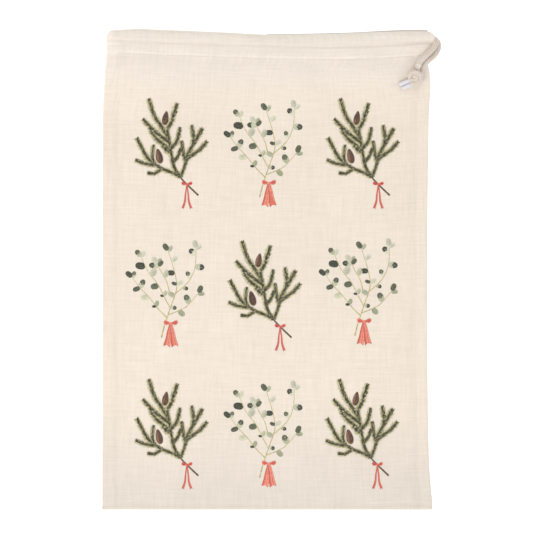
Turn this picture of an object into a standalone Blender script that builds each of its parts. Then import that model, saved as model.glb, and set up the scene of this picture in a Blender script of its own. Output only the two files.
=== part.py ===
"""A flat cotton drawstring gift pouch, lying on its back with the mouth towards +Y.

The front and back panels are joined down both sides by sewn seam allowances and
share one folded bottom edge. Above them each panel is turned over into a casing.
One cord runs through the front casing, turns round the left seam and comes back
through the back casing. Its two ends leave at the right, share one overhand knot
and finish in aglets. Metres, +Z up; the table is z = 0.
"""

import math

import bmesh
import bpy
import numpy as np
from mathutils import Vector

# Driving dimensions
CLOTH = 0.0005  # cloth thickness
GAP = 0.0003  # clearance between pieces that touch
CORD_D = 0.0052
THREAD_D = 0.0005
OVERLOCK_D = 0.0011  # the bundle of thread over an allowance's raw edge
SEAM_INSET = 0.0014  # from the side edge to the seam's stitching
AGLET_D = 0.0040
AGLET_TAPER = 0.0002  # how much smaller its radius is at the outer end
AGLET_WALL = 0.00035
BOTTOM_Y = -0.204
FOLD_LENGTH = 0.0063  # how far the folded bottom edge reaches up both panels
ALLOWANCE_WIDTH = 0.0085
ALLOWANCE_INSET = 0.0025  # from the side edge to the allowance's folded side
PUFF = 0.0062  # height of the front panel's underside over most of the pouch
SEAM_LIFT = 0.0024  # height of its underside over the seam allowances
PUFF_RAMP = (0.010, 0.038)  # distances from an edge between which it rises to PUFF
MOUTH_GAP = 0.0046  # space between the two casings
MOUTH_RAMP = (0.148, 0.178)  # Y between which the front panel rises to its casing
MOUTH_EDGE = 0.012  # width of the rounded side edge beside the casing
SEAM_EDGE = 0.003  # width of the rounded side edge elsewhere
TURN_X = -0.127  # where the casings turn round the left seam
CASING_EDGE = 0.0013  # thickness of a casing at its stitched edge
STITCH_INSET = 0.0006  # from a casing's lower edge to its stitching

# Outlines, as (along, across) points in metres joined by a smooth curve
LEFT_EDGE = [
    (-0.204, -0.1398),
    (0.100, -0.1394),
    (0.135, -0.1392),
    (0.160, -0.1378),
    (0.184, -0.1360),
]
RIGHT_EDGE = [
    (-0.204, 0.1402),
    (-0.188, 0.1388),
    (-0.145, 0.1374),
    (0.020, 0.1360),
    (0.130, 0.1373),
    (0.165, 0.1380),
    (0.181, 0.1345),
]
STITCH_LINE = [(-0.137, 0.1835), (-0.060, 0.1805), (0.010, 0.1798), (0.135, 0.1815)]
TOP_FOLD = [
    (-0.137, 0.2012),
    (-0.128, 0.2028),
    (-0.110, 0.2040),
    (-0.085, 0.2034),
    (0.002, 0.1997),
    (0.060, 0.2006),
    (0.115, 0.2022),
    (0.141, 0.2020),
]
# The casings' open right ends, as (share of the casing's depth, X)
CASING_END = [(0.0, 0.1335), (0.2, 0.1345), (0.5, 0.1378), (0.78, 0.1405), (1.0, 0.1370)]

BACK_COLOUR = (0.86, 0.78, 0.68)
CLOTH_COLOUR = (0.87, 0.79, 0.69)
THREAD_COLOUR = (0.90, 0.84, 0.75)
CORD_COLOUR = (0.86, 0.80, 0.72)
AGLET_COLOUR = (0.88, 0.88, 0.89)

# Heights that follow from the dimensions
CASING_H = 2 * CLOTH + 2 * GAP + CORD_D
FRONT_CASING_Z = CASING_H + MOUTH_GAP
TURN_Z = (CASING_H + FRONT_CASING_Z) / 2
TURN_IN = MOUTH_GAP / 2
TURN_OUT = TURN_IN + CASING_H
TURN_MID = (TURN_IN + TURN_OUT) / 2
BACK_CORD_Z = TURN_Z - TURN_MID
FRONT_CORD_Z = TURN_Z + TURN_MID
PANEL_START_Y = BOTTOM_Y + FOLD_LENGTH


# Curves and profiles
def along(points, at):
    """The smooth curve through (position, value) points, read at one position."""
    xs, ys = (np.array(c, dtype=float) for c in zip(*points))
    step = np.diff(ys) / np.diff(xs)
    slope = np.concatenate(([step[0]], (step[:-1] + step[1:]) / 2, [step[-1]]))
    at = float(np.clip(at, xs[0], xs[-1]))
    i = int(np.clip(np.searchsorted(xs, at) - 1, 0, len(xs) - 2))
    span = xs[i + 1] - xs[i]
    t = (at - xs[i]) / span
    a, b = 2 * t**3 - 3 * t**2 + 1, t**3 - 2 * t**2 + t
    c, d = 3 * t**2 - 2 * t**3, t**3 - t**2
    return float(a * ys[i] + b * span * slope[i] + c * ys[i + 1] + d * span * slope[i + 1])


def smooth(value, low, high):
    t = min(max((value - low) / (high - low), 0.0), 1.0)
    return t * t * (3 - 2 * t)


def quarter_round(distance, width):
    t = 1 - min(max(distance / width, 0.0), 1.0)
    return math.sqrt(max(1 - t * t, 0.0))


def underside(x, y):
    """Height of the front panel's lower surface."""
    side = min(x - along(LEFT_EDGE, y), along(RIGHT_EDGE, y) - x)
    foot = CLOTH + GAP
    puff = smooth(side, *PUFF_RAMP) * smooth(y - BOTTOM_Y, *PUFF_RAMP)
    body = foot + (SEAM_LIFT - foot) * quarter_round(side, SEAM_EDGE)
    body += (PUFF - SEAM_LIFT) * puff
    mouth = foot + (FRONT_CASING_Z + GAP - foot) * quarter_round(side, MOUTH_EDGE)
    share = smooth(y, *MOUTH_RAMP)
    return body * (1 - share) + mouth * share


# Mesh tools
def material(name, colour, roughness):
    made = bpy.data.materials.new(name)
    made.use_nodes = True
    shader = made.node_tree.nodes["Principled BSDF"]
    shader.inputs["Base Color"].default_value = (*colour, 1.0)
    shader.inputs["Roughness"].default_value = roughness
    shader.inputs["Metallic"].default_value = 0.0
    return made


def add_object(name, data, colour, roughness):
    piece = bpy.data.objects.new(name, data)
    parts.objects.link(piece)
    data.materials.append(material(name, colour, roughness))
    return piece


def grid_mesh(name, columns, rows, place):
    """A grid whose vertices go where place(u, v) says, with u and v from 0 to 1."""
    bm = bmesh.new()
    bmesh.ops.create_grid(bm, x_segments=columns, y_segments=rows, size=1.0)
    for vertex in bm.verts:
        vertex.co = place((vertex.co.x + 1) / 2, (vertex.co.y + 1) / 2)
    mesh = bpy.data.meshes.new(name)
    bm.to_mesh(mesh)
    bm.free()
    return mesh


def thicken(piece, thickness):
    shell = piece.modifiers.new("thickness", "SOLIDIFY")
    shell.thickness = thickness
    shell.offset = -1.0
    shell.use_even_offset = True


def sheet(name, columns, rows, place, colour=CLOTH_COLOUR):
    piece = add_object(name, grid_mesh(name, columns, rows, place), colour, 0.9)
    thicken(piece, CLOTH)
    return piece


def tube(name, route, diameter, colour, roughness=0.9):
    """A capped tube along the points of a route."""
    curve = bpy.data.curves.new(name, "CURVE")
    curve.dimensions = "3D"
    curve.bevel_depth = diameter / 2
    curve.bevel_resolution = 2
    curve.use_fill_caps = True
    spline = curve.splines.new("POLY")
    spline.points.add(len(route) - 1)
    for point, place in zip(spline.points, route):
        point.co = (*place, 1.0)
    return add_object(name, curve, colour, roughness)


def smooth_route(points, spacing):
    """Points on the smooth curve through a route's points, about `spacing` apart.

    They are three times as close in the turn round the left seam.
    """
    p = [Vector(q) for q in points]
    ends = [2 * p[0] - p[1]], [2 * p[-1] - p[-2]]
    p = ends[0] + p + ends[1]
    fine = []
    for a, b, c, d in zip(p, p[1:], p[2:], p[3:]):
        for k in range(16):
            t = k / 16
            fine.append(
                0.5
                * (
                    2 * b
                    + (c - a) * t
                    + (2 * a - 5 * b + 4 * c - d) * t**2
                    + (3 * b - a - 3 * c + d) * t**3
                )
            )
    fine.append(p[-2])
    steps = [(b - a).length * (3 if b.x < TURN_X else 1) for a, b in zip(fine, fine[1:])]
    reach = np.cumsum([0.0] + steps)
    wanted = np.linspace(0, reach[-1], max(2, round(reach[-1] / spacing) + 1))
    columns = [np.interp(wanted, reach, [q[i] for q in fine]) for i in range(3)]
    return [Vector(q) for q in zip(*columns)]


# The pouch's cloth
def front_panel():
    def place(u, v):
        x_middle = (u - 0.5) * 0.27
        top = along(STITCH_LINE, x_middle) - GAP
        y = PANEL_START_Y + GAP + (top - PANEL_START_Y - GAP) * v
        left, right = along(LEFT_EDGE, y), along(RIGHT_EDGE, y)
        x = left + (right - left) * (0.5 - 0.5 * math.cos(math.pi * u))
        return Vector((x, y, underside(x, y) + CLOTH))

    return sheet("front_panel", 30, 36, place)


def back_panel():
    def place(u, v):
        x_middle = (u - 0.5) * 0.27
        top = along(STITCH_LINE, x_middle) - GAP
        y = PANEL_START_Y + GAP + (top - PANEL_START_Y - GAP) * v
        left, right = along(LEFT_EDGE, y), along(RIGHT_EDGE, y)
        return Vector((left + (right - left) * u, y, CLOTH))

    return sheet("back_panel", 14, 18, place, BACK_COLOUR)


def bottom_fold():
    """The stretch of cloth that turns from the back panel up into the front panel."""
    radius = (SEAM_LIFT + CLOTH) / 2
    flat = FOLD_LENGTH - radius

    def place(u, v):
        if v < 0.25:
            y, z = PANEL_START_Y - flat * v / 0.25, 0.0
        elif v > 0.75:
            y, z = PANEL_START_Y - flat * (1 - v) / 0.25, 2 * radius
        else:
            turn = math.pi * (v - 0.25) / 0.5
            y = BOTTOM_Y + radius - radius * math.sin(turn)
            z = radius - radius * math.cos(turn)
        left, right = along(LEFT_EDGE, y), along(RIGHT_EDGE, y)
        return Vector((left + (right - left) * u, y, z))

    return sheet("bottom_fold", 8, 16, place)


def casing_section(depth, share, width):
    """Distances (outer, inner) from the turn's axis at a share of a casing's width.

    `share` goes from 0 on the back casing to 1 on the front casing: the back one is
    flat on its outer side and the front one on its inner side. Both close in a round
    fold at their far edge.
    """
    full = CASING_H - CASING_EDGE
    back_height = CASING_EDGE + full * smooth(depth, 0.03, 0.16)
    step = 0.35 * smooth(depth, 0.03, 0.15) + 0.65 * smooth(depth, 0.38, 0.66)
    front_height = CASING_EDGE + full * step
    outer = TURN_OUT * (1 - share) + (TURN_IN + front_height) * share
    inner = (TURN_OUT - back_height) * (1 - share) + TURN_IN * share
    curl = quarter_round((1 - depth) * width, CASING_H / 2)
    return TURN_MID + (outer - TURN_MID) * curl, TURN_MID + (inner - TURN_MID) * curl


def casing_edges(x):
    """Y of a casing's stitched edge and of its fold."""
    return along(STITCH_LINE, x) + GAP, along(TOP_FOLD, x)


def casing_around(v, share, x):
    """(y, distance from the turn's axis, depth) at v round the folded section."""
    stitch, fold = casing_edges(x)
    depth = smooth(2 * min(v, 1 - v), 0.0, 1.0)
    outer, inner = casing_section(depth, share, fold - stitch)
    return stitch + (fold - stitch) * depth, outer if v <= 0.5 else inner, depth


def straight_casing(name, side, colour):
    """The front (side 1) or back (side -1) casing, from the left turn to its open end."""
    start = TURN_X + GAP / 2

    def place(u, v):
        v = v if side > 0 else 1 - v
        x = start + (0.137 - start) * u
        y, reach, depth = casing_around(v, 0.5 + 0.5 * side, x)
        x = start + (along(CASING_END, depth) - start) * u
        return Vector((x, y, TURN_Z + side * reach))

    return sheet(name, 22, 28, place, colour)


def casing_left_turn():
    """The casing's bend round the left seam, from the back casing up to the front."""

    def place(u, v):
        turn = math.pi * (u - 0.5)
        x = TURN_X - GAP / 2 - TURN_MID * math.cos(turn)
        y, reach, _ = casing_around(v, smooth(u, 0.6, 1.0), x)
        x = TURN_X - GAP / 2 - reach * math.cos(turn)
        return Vector((x, y, TURN_Z + reach * math.sin(turn)))

    return sheet("casing_left_turn", 14, 28, place)


def seam_allowance(name, edge, inward):
    """Both panels' turned-in edges, lying together between the panels."""
    thickness = SEAM_LIFT - CLOTH - 2 * GAP

    def place(u, v):
        y = PANEL_START_Y + 0.002 + (0.174 - PANEL_START_Y) * v
        across = u if inward > 0 else 1 - u
        x = along(edge, y) + inward * (ALLOWANCE_INSET + ALLOWANCE_WIDTH * across)
        return Vector((x, y, CLOTH + GAP + thickness))

    piece = add_object(name, grid_mesh(name, 2, 18, place), CLOTH_COLOUR, 0.9)
    thicken(piece, thickness)
    return piece


# Thread
def side_seam_thread(name, edge, inward, inset, diameter):
    """Thread along a side seam, at one distance in from the pouch's edge."""
    route = []
    for y in np.linspace(PANEL_START_Y + 0.002, 0.174, 24):
        route.append((along(edge, y) + inward * inset, y, CLOTH + GAP + diameter / 2))
    return tube(name, route, diameter, THREAD_COLOUR)


def on_casing(x, depth, side):
    """A thread's centre on a casing's upper face: side 1 in front, -1 at the back."""
    stitch, fold = casing_edges(x)
    outer, inner = casing_section(depth, 0.5 + 0.5 * side, fold - stitch)
    height = outer if side > 0 else -inner
    lift = GAP + THREAD_D / 2
    return (x, stitch + (fold - stitch) * depth, TURN_Z + height + lift)


def casing_thread(name, side):
    """The row of stitching that closes a casing along its lower edge."""
    route = []
    for x in np.linspace(-0.126, 0.131, 26):
        stitch, fold = casing_edges(x)
        route.append(on_casing(x, STITCH_INSET / (fold - stitch), side))
    return tube(name, route, THREAD_D, THREAD_COLOUR)


def slit_thread(name, side):
    """The short row of stitching that holds a casing's turned-in open end."""
    depths = np.linspace(0.20, 0.84, 17)
    route = [on_casing(along(CASING_END, d) - 0.0065, d, side) for d in depths]
    return tube(name, route, THREAD_D, THREAD_COLOUR)


# The drawstring. Its routes' points are chosen by hand.
BACK_RUN = [
    (0.1371, 0.1962, BACK_CORD_Z),
    (0.1250, 0.1965, BACK_CORD_Z),
    (0.0900, 0.1962, BACK_CORD_Z),
    (0.0450, 0.1940, BACK_CORD_Z),
    (0.0000, 0.1915, BACK_CORD_Z),
    (-0.0500, 0.1900, BACK_CORD_Z),
    (-0.1000, 0.1897, BACK_CORD_Z),
]
FRONT_RUN = [
    (-0.1120, 0.2005, FRONT_CORD_Z),
    (-0.0850, 0.2000, FRONT_CORD_Z),
    (-0.0400, 0.1979, FRONT_CORD_Z),
    (0.0000, 0.1963, FRONT_CORD_Z),
    (0.0600, 0.1971, FRONT_CORD_Z),
    (0.0950, 0.1976, FRONT_CORD_Z),
    (0.1200, 0.1964, FRONT_CORD_Z),
    (0.1371, 0.1953, FRONT_CORD_Z),
]
TURN_Y = (0.1898, 0.1996)  # where the cord enters and leaves the left turn
FRONT_TAIL = [
    (0.1378, 0.1952, 0.0148),
    (0.1405, 0.1951, 0.0148),
    (0.1424, 0.1936, 0.0149),
    (0.1425, 0.1908, 0.0152),
    (0.1402, 0.1872, 0.0158),
    (0.1360, 0.1826, 0.0166),
    (0.1318, 0.1786, 0.0170),
    (0.1289, 0.1750, 0.0170),
    (0.1278, 0.1718, 0.0169),
]
BACK_TAIL = [
    (0.1378, 0.1962, 0.0034),
    (0.1406, 0.1962, 0.0034),
    (0.1436, 0.1944, 0.0036),
    (0.1452, 0.1914, 0.0044),
    (0.1452, 0.1878, 0.0060),
    (0.1436, 0.1842, 0.0082),
    (0.1406, 0.1806, 0.0102),
    (0.1370, 0.1776, 0.0118),
    (0.1338, 0.1744, 0.0124),
    (0.1316, 0.1708, 0.0124),
]


def cord_inside():
    """The route inside the casings: back run, turn round the left seam, front run."""
    route = list(BACK_RUN)
    for k in range(9):
        turn = math.pi * (k / 8 - 0.5)
        x = TURN_X - TURN_MID * math.cos(turn)
        y = TURN_Y[0] + (TURN_Y[1] - TURN_Y[0]) * k / 8
        route.append((x, y, TURN_Z + TURN_MID * math.sin(turn)))
    return route + FRONT_RUN


KNOT_CENTRE = (0.1260, 0.1623, 0.0142)
KNOT_SIZE = (0.0069, 0.0068, 0.0056)  # half lengths
KNOT_WRAP_R = 0.0042  # from the knot's middle to the middle of a wrap of cord
KNOT_WRAPS = ((48, 20), (44, -75))  # each wrap's tilt and turn, in degrees
# Each aglet's inner and outer end
AGLET_ENDS = {
    "upper": ((0.1193, 0.1597, 0.0112), (0.1111, 0.1564, 0.0091)),
    "lower": ((0.1222, 0.1555, 0.0108), (0.1145, 0.1524, 0.0091)),
}


def knot():
    """An overhand knot's outer shape: a core with two wraps of cord around it."""
    core = bmesh.new()
    bmesh.ops.create_uvsphere(core, u_segments=20, v_segments=12, radius=1.0)
    for vertex in core.verts:
        vertex.co = Vector(a * b for a, b in zip(vertex.co, KNOT_SIZE))
    mesh = bpy.data.meshes.new("cord_knot")
    core.to_mesh(mesh)
    core.free()
    piece = add_object("cord_knot", mesh, CORD_COLOUR, 0.9)
    piece.location = KNOT_CENTRE
    for number, (tilt, turn) in enumerate(KNOT_WRAPS):
        bpy.ops.mesh.primitive_torus_add(
            major_segments=24,
            minor_segments=8,
            major_radius=KNOT_WRAP_R,
            minor_radius=CORD_D / 2,
            location=KNOT_CENTRE,
            rotation=(math.radians(tilt), 0, math.radians(turn)),
        )
        wrap = bpy.context.object
        wrap.name = f"knot_wrap_{number + 1}"
        move_to(wrap, guides)
        wrap.display_type = "WIRE"
        wrap.hide_render = True
        union = piece.modifiers.new(wrap.name, "BOOLEAN")
        union.operation = "UNION"
        union.solver = "EXACT"
        union.object = wrap
    return piece


def move_to(piece, collection):
    for old in list(piece.users_collection):
        old.objects.unlink(piece)
    collection.objects.link(piece)


def aglet(place, inner, outer):
    """A thin sleeve, a little narrower at its outer end, with the cord's end inside."""
    inner, outer = Vector(inner), Vector(outer)
    bm = bmesh.new()
    length = (outer - inner).length
    radius = AGLET_D / 2
    bmesh.ops.create_cone(
        bm,
        cap_ends=False,
        segments=16,
        radius1=radius,
        radius2=radius - AGLET_TAPER,
        depth=length,
    )
    mesh = bpy.data.meshes.new(f"aglet_{place}")
    bm.to_mesh(mesh)
    bm.free()
    piece = add_object(f"aglet_{place}", mesh, AGLET_COLOUR, 0.3)
    piece.location = (inner + outer) / 2
    piece.rotation_mode = "QUATERNION"
    piece.rotation_quaternion = (outer - inner).to_track_quat("Z", "Y")
    thicken(piece, AGLET_WALL)
    direction = (outer - inner).normalized()
    route = [inner + direction * 0.0004, outer - direction * 0.0006]
    core = 2 * (radius - AGLET_TAPER - AGLET_WALL - GAP / 2)
    tube(f"cord_end_{place}", route, core, CORD_COLOUR)


# Assembly
for old in list(bpy.data.objects):
    bpy.data.objects.remove(old, do_unlink=True)
parts = bpy.data.collections.new("drawstring_gift_pouch")
guides = bpy.data.collections.new("guides")
bpy.context.scene.collection.children.link(parts)
bpy.context.scene.collection.children.link(guides)

front_panel()
back_panel()
bottom_fold()
straight_casing("front_casing", 1, CLOTH_COLOUR)
straight_casing("back_casing", -1, BACK_COLOUR)
casing_left_turn()
for place, edge, inward in (("left", LEFT_EDGE, 1), ("right", RIGHT_EDGE, -1)):
    seam_allowance(f"{place}_seam_allowance", edge, inward)
    side_seam_thread(f"{place}_seam_thread", edge, inward, SEAM_INSET, THREAD_D)
    overlock = ALLOWANCE_INSET + ALLOWANCE_WIDTH + GAP + OVERLOCK_D / 2
    side_seam_thread(f"{place}_overlock_thread", edge, inward, overlock, OVERLOCK_D)
for place, side in (("front", 1), ("back", -1)):
    casing_thread(f"{place}_casing_thread", side)
    slit_thread(f"{place}_slit_thread", side)

tube("drawstring_cord", smooth_route(cord_inside(), 1.6 * CORD_D), CORD_D, CORD_COLOUR)
tube("front_tail_cord", smooth_route(FRONT_TAIL, 0.8 * CORD_D), CORD_D, CORD_COLOUR)
tube("back_tail_cord", smooth_route(BACK_TAIL, 0.8 * CORD_D), CORD_D, CORD_COLOUR)
knot()
for place, (inner, outer) in AGLET_ENDS.items():
    aglet(place, inner, outer)

bpy.context.view_layer.update()
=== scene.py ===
"""The looks of a flat cotton drawstring gift pouch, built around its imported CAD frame.

Shapes are worked out in millimetres; MM turns them into Blender's metres.
"""

import math

import bpy
import numpy as np
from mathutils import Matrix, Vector


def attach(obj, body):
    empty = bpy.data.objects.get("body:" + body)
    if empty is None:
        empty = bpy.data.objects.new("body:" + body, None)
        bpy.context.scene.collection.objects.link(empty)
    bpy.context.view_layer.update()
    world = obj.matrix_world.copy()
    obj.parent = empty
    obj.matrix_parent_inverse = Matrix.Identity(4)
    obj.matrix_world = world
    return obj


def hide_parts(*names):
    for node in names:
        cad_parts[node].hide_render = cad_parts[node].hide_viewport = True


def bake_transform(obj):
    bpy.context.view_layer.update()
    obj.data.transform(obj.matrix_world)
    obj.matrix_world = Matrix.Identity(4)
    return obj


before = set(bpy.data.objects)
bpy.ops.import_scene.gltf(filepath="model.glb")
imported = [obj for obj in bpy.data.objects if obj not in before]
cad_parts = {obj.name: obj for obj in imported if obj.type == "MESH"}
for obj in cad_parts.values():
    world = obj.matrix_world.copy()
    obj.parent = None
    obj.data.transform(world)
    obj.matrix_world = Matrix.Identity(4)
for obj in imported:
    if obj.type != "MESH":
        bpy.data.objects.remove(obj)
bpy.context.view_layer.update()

MM = 0.001

# ---- dimensions, mm
CLOTH = 0.5  # thickness of one layer
BOTTOM = -204.0
BOTTOM_R = 1.2  # of the fold along the bottom
# The side edges are (Y, X) points, and the lines along the top are (X, Y) points.
LEFT_EDGE = [(-204, -139.8), (100, -139.4), (135, -139.2), (160, -137.8), (184, -136.0)]
RIGHT_EDGE = [
    (-204, 139.6), (-201.5, 140.2), (-189, 139.3), (-173, 138.0), (-145, 137.0),
    (20, 136.0), (130, 137.3), (165, 138.0), (181, 134.5),
]
STITCH_LINE = [(-137, 183.5), (-60, 180.5), (10, 178.2), (70, 177.8), (113, 179.8), (135, 181.3)]
TOP_FOLD = [
    (-137, 201.0), (-128, 202.3), (-110, 203.2), (-85, 202.4), (-40, 200.6),
    (2, 198.5), (60, 199.3), (115, 201.2), (141, 201.2),
]
# The casing's open end, as (share of the way up from the stitch line, X) points.
CASING_END = [(0.0, 133.5), (0.2, 135.8), (0.35, 138.0), (0.5, 140.2), (0.78, 141.4), (1.0, 137.0)]
CASING_DEPTH = 20.5
PANEL_LENGTH = 384.0  # from the stitch line to the bottom
MOUTH_RAMP = (125.0, 178.0)  # Y between which the front rises to its casing
ALLOWANCE = 10.5  # from the side edge to the turned-in raw edge
CORD_R = 2.6
KNOT_R = 2.15  # of each strand, pulled tight
AGLET_R = 1.95
THREAD_R = 0.24
BACK_CORD_Z = 3.4
FRONT_CORD_Z = 14.8
# The half circle in which the cord turns back inside the casing's left end.
TURN_X = -127.0
TURN_Y = (189.8, 199.6)
TURN_Z = 9.1
TURN_R = 5.7


# ---- curves and noise
def along(points, at):
    """The smooth curve through (position, value) points, read at `at`."""
    xs, ys = (np.array(c, dtype=float) for c in zip(*points))
    step = np.diff(ys) / np.diff(xs)
    slope = np.concatenate(([step[0]], (step[:-1] + step[1:]) / 2, [step[-1]]))
    at = np.clip(np.asarray(at, dtype=float), xs[0], xs[-1])
    i = np.clip(np.searchsorted(xs, at) - 1, 0, len(xs) - 2)
    span = xs[i + 1] - xs[i]
    t = (at - xs[i]) / span
    a, b = 2 * t**3 - 3 * t**2 + 1, t**3 - 2 * t**2 + t
    c, d = 3 * t**2 - 2 * t**3, t**3 - t**2
    return a * ys[i] + b * span * slope[i] + c * ys[i + 1] + d * span * slope[i + 1]


def smooth(value, low, high):
    t = np.clip((np.asarray(value, dtype=float) - low) / (high - low), 0.0, 1.0)
    return t * t * (3 - 2 * t)


def mix(a, b, share):
    return a * (1 - share) + b * share


def bump(value, centre, width):
    """1 at `centre`, falling smoothly to 0 at `width` either side of it."""
    return 1 - smooth(np.abs(np.asarray(value, dtype=float) - centre), 0, width)


def ripples(x, y, seed, count, longest, shortest):
    """Gentle unevenness: a sum of waves in random directions, about -1 to 1."""
    rng = np.random.RandomState(seed)
    total = np.zeros(np.broadcast(x, y).shape)
    for _ in range(count):
        length = math.exp(rng.uniform(math.log(shortest), math.log(longest)))
        turn, phase = rng.uniform(0, math.pi), rng.uniform(0, 2 * math.pi)
        place = x * math.cos(turn) + y * math.sin(turn)
        total += np.sin(2 * math.pi / length * place + phase)
    return total / math.sqrt(count)


def curve(a, b, c, d, t):
    """The smooth curve from b to c at share t; a and d are the points beside them."""
    return 0.5 * (
        2 * b + (c - a) * t + (2 * a - 5 * b + 4 * c - d) * t**2 + (3 * b - a - 3 * c + d) * t**3
    )


def with_ends(p):
    """The points with one more before the first and after the last."""
    return np.vstack([2 * p[0] - p[1], p, 2 * p[-1] - p[-2]])


def reach_along(points):
    """How far along a route each of its points lies."""
    return np.concatenate(([0.0], np.cumsum(np.linalg.norm(np.diff(points, axis=0), axis=1))))


def spline(points, spacing=None, count=None):
    """Points on the smooth curve through some points, evenly spaced along it."""
    p = with_ends(np.array(points, dtype=float))
    t = np.linspace(0, 1, 24, endpoint=False)[:, None]
    fine = [curve(a, b, c, d, t) for a, b, c, d in zip(p, p[1:], p[2:], p[3:])]
    fine = np.vstack([*fine, p[-2]])
    reach = reach_along(fine)
    if count is None:
        count = max(2, int(round(reach[-1] / spacing)) + 1)
    wanted = np.linspace(0, reach[-1], count)
    return np.stack([np.interp(wanted, reach, column) for column in fine.T], axis=1)


def unit(v):
    return v / np.maximum(np.linalg.norm(v, axis=-1, keepdims=True), 1e-9)


def frames(route):
    """Tangents and two steady side directions along a route that starts level."""
    tangent = unit(np.gradient(route, axis=0))
    side = np.zeros_like(tangent)
    side[0] = unit(np.cross(tangent[0], (0.0, 0.0, 1.0)))
    for i in range(1, len(route)):
        side[i] = unit(side[i - 1] - tangent[i] * np.dot(side[i - 1], tangent[i]))
    return tangent, side, np.cross(tangent, side)


# ---- mesh helpers
def mesh_object(name, verts_mm, faces, material, colours=None, uv=None, **values):
    """A mesh from millimetre points. Each of `values` becomes a number per vertex."""
    mesh = bpy.data.meshes.new(name)
    verts = np.asarray(verts_mm, dtype=float) * MM
    mesh.from_pydata(verts.tolist(), [], [tuple(f) for f in faces])
    mesh.polygons.foreach_set("use_smooth", np.ones(len(mesh.polygons), dtype=bool))
    corners = np.empty(len(mesh.loops), dtype=np.int32)
    mesh.loops.foreach_get("vertex_index", corners)
    if uv is not None:
        layer = mesh.uv_layers.new(name="flat")
        layer.data.foreach_set("uv", np.asarray(uv, dtype=np.float32)[corners].ravel())
    if colours is not None:
        layer = mesh.color_attributes.new(name="ink", type="FLOAT_COLOR", domain="POINT")
        rgba = np.ones((len(verts), 4), dtype=np.float32)
        rgba[:, :3] = colours
        layer.data.foreach_set("color", rgba.ravel())
    for key, numbers in values.items():
        layer = mesh.attributes.new(name=key, type="FLOAT", domain="POINT")
        layer.data.foreach_set("value", np.asarray(numbers, dtype=np.float32).ravel())
    mesh.update()
    made = bpy.data.objects.new(name, mesh)
    bpy.context.scene.collection.objects.link(made)
    mesh.materials.append(material)
    return made


def grid_faces(rows, columns, start=0, wrap=False, flip=False):
    """Quads between rows x columns vertices; `wrap` closes each row into a ring."""
    r = np.arange(rows - 1)[:, None]
    c = np.arange(columns if wrap else columns - 1)[None, :]
    nxt = (c + 1) % columns
    quads = np.stack(
        [r * columns + c, r * columns + nxt, (r + 1) * columns + nxt, (r + 1) * columns + c],
        axis=-1,
    ).reshape(-1, 4)
    return (quads[:, ::-1] if flip else quads) + start


def shell(points, thickness):
    """A closed slab around a grid of points: vertices and faces."""
    rows, columns = points.shape[:2]
    normal = unit(np.cross(np.gradient(points, axis=1), np.gradient(points, axis=0)))
    top = points + normal * thickness / 2
    under = points - normal * thickness / 2
    count = rows * columns
    faces = [grid_faces(rows, columns), grid_faces(rows, columns, count, flip=True)]
    index = np.arange(count).reshape(rows, columns)
    rim = np.concatenate([index[0, :-1], index[:-1, -1], index[-1, :0:-1], index[:0:-1, 0]])
    after = np.roll(rim, -1)
    faces.append(np.stack([rim, rim + count, after + count, after], axis=1))
    verts = np.concatenate([top.reshape(-1, 3), under.reshape(-1, 3)])
    return verts, np.concatenate(faces)


def tube_mesh(route, radius, around, closed_ends=True):
    """Vertices and faces of a tube; radius may be a number or rings x around."""
    _, side, up = frames(route)
    turn = np.linspace(0, 2 * math.pi, around, endpoint=False)[None, :, None]
    ring = side[:, None, :] * np.cos(turn) + up[:, None, :] * np.sin(turn)
    radius = np.broadcast_to(np.asarray(radius, dtype=float), (len(route), around))
    verts = (route[:, None, :] + ring * radius[:, :, None]).reshape(-1, 3)
    faces = [tuple(f) for f in grid_faces(len(route), around, wrap=True)]
    if closed_ends:
        faces.append(tuple(range(around - 1, -1, -1)))
        last = (len(route) - 1) * around
        faces.append(tuple(range(last, last + around)))
    return verts, faces


def join(pieces):
    """Several (vertices, faces) as one."""
    verts, faces, start = [], [], 0
    for v, f in pieces:
        verts.append(v)
        faces += [tuple(int(i) + start for i in face) for face in f]
        start += len(v)
    return np.concatenate(verts), faces


# ---- materials
EXPOSURE = 1.30  # the light's brightness on a flat white surface


def ink(red, green, blue):
    """The surface colour that shows as this 8-bit screen colour in the scene's light."""

    def linear(c):
        c = c / 255
        return c / 12.92 if c <= 0.04045 else ((c + 0.055) / 1.055) ** 2.4

    return tuple(min(linear(c) / EXPOSURE, 0.9) for c in (red, green, blue))


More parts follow.
